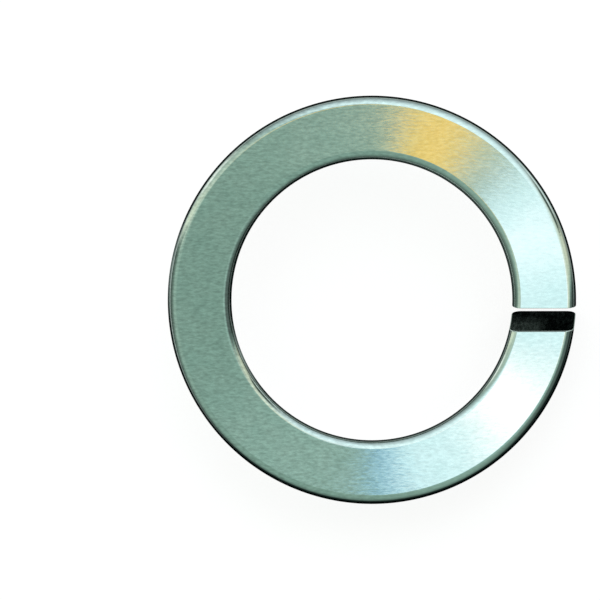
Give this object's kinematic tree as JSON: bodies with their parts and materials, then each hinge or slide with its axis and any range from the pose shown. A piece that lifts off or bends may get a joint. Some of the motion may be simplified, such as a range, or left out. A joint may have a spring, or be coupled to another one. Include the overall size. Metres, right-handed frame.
{
  "type": "spring lock washer",
  "caption": "Spring lock washer: a left-hand coil of rounded square steel wire, cut off on a slant so that its tips bite under a nut or bolt head.",
  "frame": {"origin": "on the bolt's axis, at the height of the lowest tip", "axes": "+Z along the bolt's axis, towards the nut or bolt head; +X towards the split, with the high end on its +Y side"},
  "size_m": [0.0294, 0.0294, 0.0093],
  "materials": {
    "zinc_plated_steel": "zinc plated spring steel, cool grey-green with a fine-grained satin sheen"
  },
  "bodies": {
    "root": {"lock_washer": "zinc_plated_steel"}
  },
  "joints": []
}
